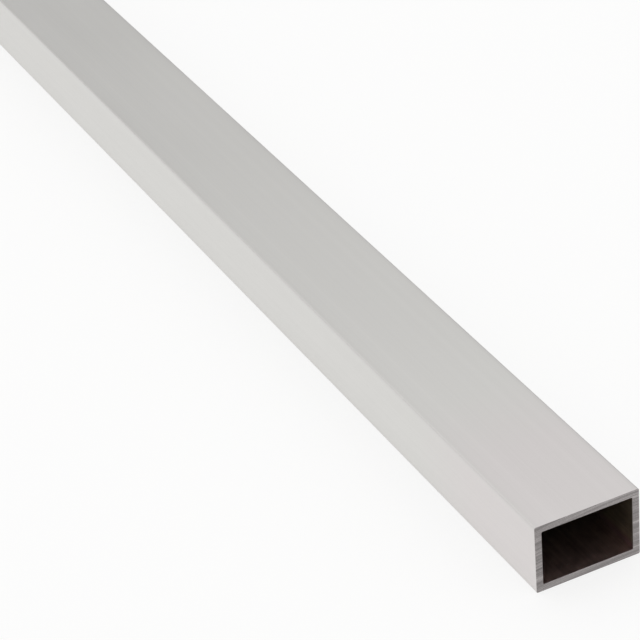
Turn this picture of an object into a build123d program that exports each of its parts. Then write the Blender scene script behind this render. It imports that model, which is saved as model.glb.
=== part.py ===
from build123d import *
import os

# Rectangular aluminium tube: one length of anodised, extruded stock, sawn square at both ends.
# It lies on one of its wide sides. X runs along the tube, Y across it and Z up, and the origin
# is the middle of its underside. Lengths are in millimetres.

# What the stock is ordered by
length = 1000
width = 30
height = 20
wall = 2

# The die leaves the section's long corners a little round, outside and inside.
outside_corner_radius = 0.4
inside_corner_radius = 0.3

# After sawing, the sharp edges round both ends are broken.
end_edge_break = 0.15


def tube_section():
    """The extruded section, on the plane across the tube: a closed ring of even wall."""
    bore_width = width - 2 * wall
    bore_height = height - 2 * wall
    with BuildSketch(Plane.YZ) as section:
        with Locations((0, height / 2)):
            RectangleRounded(width, height, outside_corner_radius)
            RectangleRounded(bore_width, bore_height, inside_corner_radius, mode=Mode.SUBTRACT)
    return section.sketch


def rectangular_tube():
    """The section carried along X by half the length each way, with its end edges broken."""
    with BuildPart() as tube:
        extrude(tube_section(), amount=length / 2, both=True)
        sawn_ends = tube.faces().filter_by(Axis.X)
        chamfer(sawn_ends.edges(), end_edge_break)
    return tube.part


tube = rectangular_tube()
tube.label = "rectangular_tube"

os.makedirs("parts", exist_ok=True)
export_step(tube, "parts/rectangular_tube.step")
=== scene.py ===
import bpy
import math
import numpy as np
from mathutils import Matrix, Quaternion, Vector


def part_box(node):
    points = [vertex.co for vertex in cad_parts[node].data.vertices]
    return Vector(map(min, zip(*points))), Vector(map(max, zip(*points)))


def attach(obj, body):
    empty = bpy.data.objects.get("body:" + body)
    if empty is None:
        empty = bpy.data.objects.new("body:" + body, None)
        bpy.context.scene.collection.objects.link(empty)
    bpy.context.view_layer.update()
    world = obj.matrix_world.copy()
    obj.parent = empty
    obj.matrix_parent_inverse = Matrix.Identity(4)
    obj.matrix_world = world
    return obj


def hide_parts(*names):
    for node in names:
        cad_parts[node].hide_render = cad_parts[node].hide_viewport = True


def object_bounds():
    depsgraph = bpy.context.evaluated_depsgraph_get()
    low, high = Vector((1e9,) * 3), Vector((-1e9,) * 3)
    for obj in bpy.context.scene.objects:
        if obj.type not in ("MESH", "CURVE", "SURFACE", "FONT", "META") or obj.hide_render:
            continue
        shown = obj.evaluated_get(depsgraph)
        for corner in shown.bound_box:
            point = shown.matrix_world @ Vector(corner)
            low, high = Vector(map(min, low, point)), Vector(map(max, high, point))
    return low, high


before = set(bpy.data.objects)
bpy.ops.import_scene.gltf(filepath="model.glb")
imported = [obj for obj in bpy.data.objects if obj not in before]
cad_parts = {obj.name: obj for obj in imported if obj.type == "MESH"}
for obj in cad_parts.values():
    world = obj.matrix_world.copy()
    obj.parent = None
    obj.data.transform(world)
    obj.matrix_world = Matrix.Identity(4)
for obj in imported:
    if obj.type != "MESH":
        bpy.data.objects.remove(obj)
cad_low, cad_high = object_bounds()

# Camera
# A long lens looks down along the tube at its right-hand end, from in front and to the right,
# and leans a few degrees clockwise.
right_end = Vector((cad_high[0], 0.0, 0.0))
camera_place = right_end + Vector((0.4596, -0.2758, 0.4209))
camera_direction = Vector((-0.7675, 0.3489, -0.5378))
camera_lean = math.radians(-5.09)
film_width_mm = 36.0
focal_length_mm = 153.2
nearest_seen = 0.01
farthest_seen = 100.0

camera = bpy.data.objects.new("camera", bpy.data.cameras.new("camera"))
bpy.context.scene.collection.objects.link(camera)
camera.data.sensor_width = film_width_mm
camera.data.lens = focal_length_mm
camera.data.clip_start = nearest_seen
camera.data.clip_end = farthest_seen
camera.location = camera_place
level_camera = camera_direction.to_track_quat("-Z", "Y")
camera.rotation_mode = "QUATERNION"
camera.rotation_quaternion = level_camera @ Quaternion((0.0, 0.0, 1.0), camera_lean)
bpy.context.scene.camera = camera

# The tube
# One length of aluminium, pushed hot through a die, etched and clear anodised to a satin skin,
# then sawn square at both ends. A circular blade has left shallow curved steps on the bare metal.
length, width, height = (b - a for a, b in zip(*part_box("rectangular_tube")))
wall = 0.002
outside_corner_radius = 0.0004
inside_corner_radius = 0.0003
end_edge_break = 0.00015

blade_radius = 0.200
spindle_y = 0.015
step_between_teeth = 0.00045
deepest_mark = 0.000025
other_end_start = 2.3

sharpest_smooth_edge = math.radians(35)
corner_steps = 5
steps_along_wide_side = 100
steps_along_narrow_side = 230
steps_across_wall = 24
steps_along_tube = 12


def ring_round(half_width, half_height, radius):
    """Points (y, z) round a rectangle with round corners, about its own middle.
    Corner k is centre + radius * (cos a, sin a), a running over its own quarter turn, and the
    side after it is the straight line from the end of that arc to the start of the next one."""
    quarter = np.linspace(0.0, np.pi / 2, corner_steps + 1)
    turn = quarter + np.arange(4)[:, None] * np.pi / 2
    centre_y = np.array([1, -1, -1, 1])[:, None] * (half_width - radius)
    centre_z = np.array([1, 1, -1, -1])[:, None] * (half_height - radius)
    arcs = np.stack([centre_y + radius * np.cos(turn), centre_z + radius * np.sin(turn)], axis=2)
    side_steps = [steps_along_wide_side, steps_along_narrow_side] * 2
    pieces = []
    for k, steps in enumerate(side_steps):
        share = np.linspace(0.0, 1.0, steps + 1)[1:-1, None]
        start, end = arcs[k, -1], arcs[(k + 1) % 4, 0]
        pieces += [arcs[k], start + share * (end - start)]
    return np.concatenate(pieces)


def blade_travel(y, z):
    """How far up the saw had come when a tooth passed each point: z less the height of the
    blade's rim there, s = z - sqrt(R^2 - (y - y0)^2) + R. Each tooth's mark is a line of equal s."""
    return z - np.sqrt(blade_radius**2 - (y - spindle_y) ** 2) + blade_radius


def tooth_marks(travel, start):
    """Depth of the marks along the blade's travel s, from 0 to 1: waves of the tooth step and of
    slower shakes, added up and squared off a little. start shifts every wave for the other end."""
    turn = 2 * np.pi * travel / step_between_teeth + start
    wobble = 0.8 * np.sin(0.173 * turn + 1.0) + 0.5 * np.sin(0.071 * turn)
    teeth = 0.5 * np.sin(turn + wobble) + 0.3 * np.sin(0.437 * turn + 2.0)
    shake = 0.5 * np.sin(0.113 * turn + 0.6) + 0.35 * np.sin(0.221 * turn + 4.0)
    return 0.5 + 0.5 * np.tanh(0.9 * (teeth + shake))


def tube_grid():
    """The wall's own lengthwise outline carried round the section, a grid of two parameters.
    Along the outline, x goes out along the outside, share falls from 1 (outside) to 0 (inside)
    across the sawn end, x comes back along the inside and share rises again across the other end.
    A point is inner + share * (outer - inner), with x drawn in by the blade's marks on the ends.
    Along the tube x goes as the sine of an even turn, so the steps crowd towards the mouths."""
    outer = ring_round(width / 2, height / 2, outside_corner_radius)
    inner = ring_round(width / 2 - wall, height / 2 - wall, inside_corner_radius)
    turn = np.linspace(-np.pi / 2, np.pi / 2, steps_along_tube + 1)
    along = (length / 2 - end_edge_break) * np.sin(turn)
    across = np.linspace(1.0 - end_edge_break / wall, end_edge_break / wall, steps_across_wall + 1)
    end = np.full(steps_across_wall + 1, length / 2)
    x = np.concatenate([along, end, along[::-1], -end])
    share = np.concatenate([np.ones_like(along), across, np.zeros_like(along), across[::-1]])
    section = inner + share[:, None, None] * (outer - inner)
    y, z = section[..., 0], section[..., 1] + height / 2
    x = np.repeat(x[:, None], y.shape[1], axis=1)
    travel = blade_travel(y, z)
    sawn = np.abs(x) > length / 2 - end_edge_break / 2
    groove = tooth_marks(travel, np.where(x > 0, 0.0, other_end_start))
    x = np.where(sawn, x - np.sign(x) * deepest_mark * groove, x)
    return np.stack([x, y, z], axis=2), travel, groove


def nearness_to_corners(y, z):
    """How near each point is to the outside's four long corners: exp(-distance / reach), with the
    distance taken from the sharp corner that the rounding cuts off."""
    reach = 0.0009
    return np.exp(-np.hypot(width / 2 - np.abs(y), height / 2 - np.abs(z - height / 2)) / reach)


def closed_grid_faces(rows, columns):
    """Four-cornered faces of a grid that closes on itself both ways. Face (i, j) joins the points
    (i, j), (i, j + 1), (i + 1, j + 1) and (i + 1, j), and the last row and column lead back to 0."""
    row, column = np.meshgrid(np.arange(rows), np.arange(columns), indexing="ij")
    next_row, next_column = (row + 1) % rows, (column + 1) % columns
    corners = [row * columns + column, row * columns + next_column,
               next_row * columns + next_column, next_row * columns + column]
    return np.stack(corners, axis=2).reshape(-1, 4)


def unrolled_map(points):
    """The grid laid flat on the unit square, a place for each corner of each face. Across it is
    the way round the outside, to scale, and up it come the outside, one end, the inside and the
    other end. Up it, each step gets an even share of its stretch, so the mouths and the ends, with
    the finest marks, get more of the square than their size."""
    half_way_up = 0.5
    outside_top = 0.4
    end_bottom, end_top = 0.41, 0.49
    rows, columns = points.shape[:2]
    step_widths = np.hypot(*np.diff(points[0, :, 1:], axis=0, append=points[0, :1, 1:]).T)
    across = np.concatenate([[0.0], np.cumsum(step_widths)]) / step_widths.sum()
    along = np.linspace(0.0, outside_top, steps_along_tube + 1)
    end = np.linspace(end_bottom, end_top, steps_across_wall + 1)
    up = np.concatenate([along, end, along + half_way_up, end + half_way_up, [1.0]])
    row, column = np.meshgrid(np.arange(rows), np.arange(columns), indexing="ij")
    u = np.stack([across[column], across[column + 1], across[column + 1], across[column]], axis=2)
    v = np.stack([up[row], up[row], up[row + 1], up[row + 1]], axis=2)
    return np.stack([u, v], axis=3)


def add_node(tree, kind, inputs=None, **settings):
    """Adds a node with its settings. Each of its inputs gets a value, or the output given for it."""
    made = tree.nodes.new("ShaderNode" + kind)
    for name, value in settings.items():
        setattr(made, name, value)
    for name, value in (inputs or {}).items():
        if isinstance(value, bpy.types.NodeSocket):
            tree.links.new(value, made.inputs[name])
        else:
            made.inputs[name].default_value = value
    return made


def math_node(tree, operation, a, b):
    """The result of one sum."""
    return add_node(tree, "Math", {0: a, 1: b}, operation=operation).outputs["Value"]


def pattern(tree, place, per_metre, detail):
    """Noise about 0.5, on a place stretched by so many cells per metre along x, y and z. detail is
    how many times finer noise is added to it."""
    spot = add_node(tree, "Mapping", {"Vector": place, "Scale": per_metre}).outputs["Vector"]
    noise = add_node(tree, "TexNoise", {"Vector": spot, "Scale": 1.0, "Detail": detail})
    return noise.outputs["Fac"]


def ranged(tree, value, start, stop, low, high):
    """Turns start to stop into low to high, and stays at low and high outside them."""
    span = {"Value": value, "From Min": start, "From Max": stop, "To Min": low, "To Max": high}
    return add_node(tree, "MapRange", span).outputs["Result"]


def spread(tree, noise, low, high):
    """Turns the range in which most of a pattern lies, 0.3 to 0.7, into low to high."""
    return ranged(tree, noise, 0.3, 0.7, low, high)


def shade(tree, share, *colours):
    """A colour along an even row of colours, from the first at share 0 to the last at share 1."""
    ramp = add_node(tree, "ValToRGB", {"Fac": share})
    stops = ramp.color_ramp.elements
    while len(stops) < len(colours):
        stops.new(0.5)
    for k, colour in enumerate(colours):
        stops[k].position = k / (len(colours) - 1)
        stops[k].color = (*colour, 1.0)
    return ramp.outputs["Color"]


def mixed(tree, share, a, b):
    """Colour a at share 0, colour b at share 1."""
    return add_node(tree, "MixRGB", {"Fac": share, "Color1": a, "Color2": b}).outputs["Color"]


def metal_material(name):
    """A new material whose shader is bare metal. Returns it, its node tree and its shader."""
    material = bpy.data.materials.new(name)
    material.use_nodes = True
    shader = material.node_tree.nodes["Principled BSDF"]
    shader.inputs["Metallic"].default_value = 1.0
    return material, material.node_tree, shader


def finish_metal(tree, shader, colour, roughness, relief, relief_depth):
    """Joins a colour, a roughness and a relief, so many metres deep, to a shader."""
    tree.links.new(colour, shader.inputs["Base Color"])
    tree.links.new(roughness, shader.inputs["Roughness"])
    bump = add_node(tree, "Bump", {"Height": relief, "Distance": relief_depth})
    tree.links.new(bump.outputs["Normal"], shader.inputs["Normal"])


def from_nearest_end(tree, place):
    """How far each point is from the nearer sawn end, in metres: half the length less |x|."""
    along = add_node(tree, "SeparateXYZ", {0: place}).outputs["X"]
    return math_node(tree, "SUBTRACT", length / 2, math_node(tree, "ABSOLUTE", along, 0.0))


def satin_skin():
    """Etched and anodised: an even satin with the die's lines still faintly in it all along the
    tube, slow clouds and a few hair-thin scuffs. Along the long corners it has painted shade, in
    slow patches, and it is a trace pinker near the sawn ends."""
    plain = (0.680, 0.672, 0.652), (0.742, 0.734, 0.712)
    pinker = (0.690, 0.660, 0.652), (0.752, 0.721, 0.714)
    corner_shade_colour = (0.64, 0.625, 0.61, 1.0)
    pinkest_to, plain_from = 0.03, 0.06
    lines_weight = 0.6
    tone_range = 1.0, 2.2
    corner_shade_range = 1.0, 0.7
    skin_roughness = 0.345, 0.395
    scuffs_turn = (0.0, 0.1, 0.16)
    scuffs_range = 0.68, 0.76
    scuffs_roughness = 0.07
    relief_depth = 0.000003
    material, tree, shader = metal_material("satin_anodised_skin")
    place = add_node(tree, "TexCoord").outputs["Object"]
    die_lines = pattern(tree, place, (0.5, 1300.0, 1300.0), 4.0)
    fine_lines = pattern(tree, place, (1.5, 9000.0, 9000.0), 1.0)
    broad_lines = pattern(tree, place, (0.3, 150.0, 150.0), 1.0)
    etched = pattern(tree, place, (9000.0, 9000.0, 9000.0), 2.0)
    clouds = pattern(tree, place, (14.0, 60.0, 60.0), 2.0)
    grain = math_node(tree, "ADD", fine_lines, etched)
    lines = math_node(tree, "ADD", die_lines, broad_lines)
    tone = math_node(tree, "ADD", math_node(tree, "MULTIPLY", lines, lines_weight), grain)
    tone = ranged(tree, tone, *tone_range, 0.0, 1.0)
    near_end = ranged(tree, from_nearest_end(tree, place), pinkest_to, plain_from, 1.0, 0.0)
    colour = mixed(tree, near_end, shade(tree, tone, *plain), shade(tree, tone, *pinker))
    # Painted shade: the skin is darker along the long corners, in slow patches.
    near_corner = add_node(tree, "Attribute", attribute_name="near_corner").outputs["Fac"]
    corner_shade = math_node(tree, "MULTIPLY", near_corner, spread(tree, clouds, *corner_shade_range))
    colour = mixed(tree, corner_shade, colour, corner_shade_colour)
    scuffed_place = add_node(tree, "Mapping", {"Vector": place, "Rotation": scuffs_turn})
    scuffs = pattern(tree, scuffed_place.outputs["Vector"], (60.0, 3000.0, 3000.0), 1.0)
    rough_scuffs = ranged(tree, scuffs, *scuffs_range, 0.0, scuffs_roughness)
    roughness = math_node(tree, "ADD", spread(tree, clouds, *skin_roughness), rough_scuffs)
    relief = math_node(tree, "ADD", die_lines, grain)
    finish_metal(tree, shader, colour, roughness, relief, relief_depth)
    return material


def sawn_metal():
    """Bare metal, scored along the lines of equal blade travel: the teeth's steps, hair lines and
    torn specks between them, and broad bands where the blade shook. Its colours are kept dark,
    partly as painted shade for the light its rough face scatters away, and grooves get painted shade."""
    # Painted shade, in part: these colours are kept darker than bare metal for the light the rough
    # face scatters away.
    dark_marks_and_groove_shade = (0.163, 0.152, 0.15)
    plain_metal = (0.265, 0.248, 0.245)
    crest_metal = (0.53, 0.50, 0.494)
    slice_of_noise = 1.7
    torn_weight = 0.5
    bands_weight = 0.5
    groove_shade_weight = 0.3
    marks_range = 0.5, 1.2
    sawn_roughness = 0.3, 0.5
    relief_depth = 0.000006
    material, tree, shader = metal_material("bare_sawn_metal")
    where = add_node(tree, "SeparateXYZ", {0: add_node(tree, "TexCoord").outputs["Object"]}).outputs
    travel = add_node(tree, "Attribute", attribute_name="blade_travel").outputs["Fac"]
    depth = math_node(tree, "ADD", where["X"], slice_of_noise)
    place = add_node(tree, "CombineXYZ", {"X": travel, "Y": where["Y"], "Z": depth}).outputs["Vector"]
    bands = pattern(tree, place, (700.0, 3.0, 1.0), 1.0)
    hairs = pattern(tree, place, (7000.0, 25.0, 1.0), 3.0)
    torn = pattern(tree, place, (9000.0, 3000.0, 1.0), 1.0)
    groove = add_node(tree, "Attribute", attribute_name="groove").outputs["Fac"]
    lines = math_node(tree, "ADD", hairs, math_node(tree, "MULTIPLY", torn, torn_weight))
    marks = math_node(tree, "ADD", lines, math_node(tree, "MULTIPLY", bands, bands_weight))
    # Painted shade in the grooves: the deeper the groove, the darker the colour.
    marks = math_node(tree, "SUBTRACT", marks, math_node(tree, "MULTIPLY", groove, groove_shade_weight))
    share = ranged(tree, marks, *marks_range, 0.0, 1.0)
    colour = shade(tree, share, dark_marks_and_groove_shade, plain_metal, crest_metal)
    finish_metal(tree, shader, colour, spread(tree, hairs, *sawn_roughness), lines, relief_depth)
    return material


def shaded_bore():
    """The inside, lighter near each mouth and fading a little way in to a dark metal: painted light
    and shade. The walls have an olive stain and the bottom, where the anodising bath dried, a
    red-brown one, and a few specks of swarf stick near the mouths."""
    # The mouth colours are painted lit copies of the deep ones, and the deep ones are painted shade.
    deep_olive, deep_red = (0.33, 0.305, 0.25, 1.0), (0.345, 0.295, 0.268, 1.0)
    mouth_olive, mouth_red = (0.69, 0.605, 0.455, 1.0), (0.71, 0.50, 0.488, 1.0)
    swarf_metal = (0.66, 0.62, 0.59, 1.0)
    bore_shade_reach = 0.02
    red_up_to, olive_from = 0.0025, 0.006
    redness_range = 0.7, 1.2
    tone_range = 0.6, 1.4
    stained, clean = (0.76, 0.76, 0.76), (1.06, 1.06, 1.06)
    bore_roughness = 0.32, 0.38
    swarf_range = 0.77, 0.80
    swarf_dense_to, swarf_up_to = 0.003, 0.012
    swarf_roughness = 0.25
    relief_depth = 0.000003
    material, tree, shader = metal_material("shaded_bore")
    place = add_node(tree, "TexCoord").outputs["Object"]
    die_lines = pattern(tree, place, (0.5, 1300.0, 1300.0), 4.0)
    stains = pattern(tree, place, (300.0, 400.0, 400.0), 2.0)
    tint = pattern(tree, place, (15.0, 60.0, 60.0), 1.0)
    up = add_node(tree, "SeparateXYZ", {0: place}).outputs["Z"]
    bottom = ranged(tree, up, red_up_to, olive_from, 1.0, 0.0)
    redness = math_node(tree, "ADD", bottom, tint)
    redness = ranged(tree, redness, *redness_range, 0.0, 1.0)
    deep = mixed(tree, redness, deep_olive, deep_red)
    mouth = mixed(tree, redness, mouth_olive, mouth_red)
    from_end = from_nearest_end(tree, place)
    # Painted light and shade: from the mouth colours at each end to the deep ones a little way in.
    colour = mixed(tree, ranged(tree, from_end, 0.0, bore_shade_reach, 0.0, 1.0), mouth, deep)
    tone = ranged(tree, math_node(tree, "ADD", die_lines, stains), *tone_range, 0.0, 1.0)
    toned = {"Fac": 1.0, "Color1": colour, "Color2": shade(tree, tone, stained, clean)}
    colour = add_node(tree, "MixRGB", toned, blend_type="MULTIPLY").outputs["Color"]
    specks = pattern(tree, place, (2600.0, 2600.0, 2600.0), 0.0)
    swarf = ranged(tree, specks, *swarf_range, 0.0, 1.0)
    near_mouth = ranged(tree, from_end, swarf_dense_to, swarf_up_to, 1.0, 0.0)
    swarf = math_node(tree, "MULTIPLY", swarf, near_mouth)
    colour = mixed(tree, swarf, colour, swarf_metal)
    rough_swarf = math_node(tree, "MULTIPLY", swarf, swarf_roughness)
    roughness = math_node(tree, "ADD", spread(tree, stains, *bore_roughness), rough_swarf)
    finish_metal(tree, shader, colour, roughness, die_lines, relief_depth)
    return material


points, travel, groove = tube_grid()
rows, columns = travel.shape
faces = closed_grid_faces(rows, columns)
mesh = bpy.data.meshes.new("sawn_tube")
mesh.from_pydata(points.reshape(-1, 3), [], faces)
near_corner = nearness_to_corners(points[..., 1], points[..., 2])
for name, values in (("blade_travel", travel), ("groove", groove), ("near_corner", near_corner)):
    mesh.attributes.new(name, "FLOAT", "POINT").data.foreach_set("value", values.reshape(-1))
mesh.uv_layers.new(name="OFBake").data.foreach_set("uv", unrolled_map(points).reshape(-1))

for material in (satin_skin(), sawn_metal(), shaded_bore()):
    mesh.materials.append(material)
end_rows = steps_across_wall + 2
finish_of_row = np.repeat([0, 1, 2, 1], [steps_along_tube, end_rows, steps_along_tube, end_rows])
finish_of_face = np.repeat(finish_of_row, columns).astype(np.int32)
mesh.polygons.foreach_set("material_index", finish_of_face)
mesh.polygons.foreach_set("use_smooth", np.ones(len(faces), dtype=bool))
mesh.set_sharp_from_angle(angle=sharpest_smooth_edge)
mesh.update()

tube = bpy.data.objects.new("sawn_tube", mesh)
bpy.context.scene.collection.objects.link(tube)
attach(tube, "root")
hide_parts("rectangular_tube")

# Floor
# A plain pale floor under the tube: a disc far wider than the view, whose rim curves up all round so
# that a low view has it behind the tube too. It shows nearly white and keeps the tube's shadow. A
# ring of the rim is flat_radius + rim_radius * sin a out and rim_radius * (1 - cos a) up.
flat_radius = 24.0
rim_radius = 6.0
rim_turn = math.radians(75)
rings = 17
steps_around = 96
floor_colour = (0.9, 0.9, 0.89, 1.0)
floor_roughness = 0.8
shown_white = 0.75

rim = np.linspace(0.0, rim_turn, rings)[:, None]
around = np.linspace(0.0, 2 * np.pi, steps_around, endpoint=False)
from_middle = flat_radius + rim_radius * np.sin(rim)
rise = np.broadcast_to(rim_radius * (1 - np.cos(rim)), (rings, steps_around))
rim_points = np.stack([from_middle * np.cos(around), from_middle * np.sin(around), rise], axis=2)
ring, step = np.meshgrid(np.arange(rings - 1), np.arange(steps_around), indexing="ij")
start, next_start = ring * steps_around, (ring + 1) * steps_around
next_step = (step + 1) % steps_around
rim_faces = [start + step, next_start + step, next_start + next_step, start + next_step]
rim_faces = np.stack(rim_faces, axis=2).reshape(-1, 4).tolist()
floor_mesh = bpy.data.meshes.new("floor")
floor_mesh.from_pydata(rim_points.reshape(-1, 3), [], [list(range(steps_around))] + rim_faces)
floor_mesh.polygons.foreach_set("use_smooth", [False] + [True] * len(rim_faces))
floor = bpy.data.objects.new("floor", floor_mesh)
bpy.context.scene.collection.objects.link(floor)
paint = bpy.data.materials.new("pale_floor")
paint.use_nodes = True
tree = paint.node_tree
matt_paint = tree.nodes["Principled BSDF"]
matt_paint.inputs["Base Color"].default_value = floor_colour
matt_paint.inputs["Roughness"].default_value = floor_roughness
ray = add_node(tree, "LightPath").outputs
seen = math_node(tree, "MAXIMUM", ray["Is Camera Ray"], ray["Is Glossy Ray"])
seen = math_node(tree, "MAXIMUM", seen, ray["Is Transmission Ray"])
white_share = math_node(tree, "MULTIPLY", seen, shown_white)
white = add_node(tree, "Emission", {"Strength": 1.0}).outputs["Emission"]
blend = add_node(tree, "MixShader", {0: white_share, 1: matt_paint.outputs["BSDF"], 2: white})
tree.links.new(blend.outputs["Shader"], tree.nodes["Material Output"].inputs["Surface"])
floor_mesh.materials.append(paint)

# Studio light
# One very large soft light overhead, towards the camera's side. Away from it the walls fall off,
# so the tube's top darkens along its length. The strength rises from dim_wall to bright_light as
# the cosine of the angle to the light goes from dim_up_to to bright_from.
light_direction = Vector((0.5, -0.2, 0.84)).normalized()
white_light = (1.0, 1.0, 1.0, 1.0)
dim_wall = 0.33
bright_light = 1.065
dim_up_to, bright_from = -0.24, 0.14
world = bpy.data.worlds.new("studio")
bpy.context.scene.world = world
world.use_nodes = True
tree = world.node_tree
walls = tree.nodes["Background"]
walls.inputs["Color"].default_value = white_light
direction = add_node(tree, "TexCoord").outputs["Generated"]
towards = add_node(tree, "VectorMath", {0: direction, 1: light_direction}, operation="DOT_PRODUCT")
cosine = towards.outputs["Value"]
strength = ranged(tree, cosine, dim_up_to, bright_from, dim_wall, bright_light)
tree.links.new(strength, walls.inputs["Strength"])

bpy.context.scene.view_settings.view_transform = "Standard"
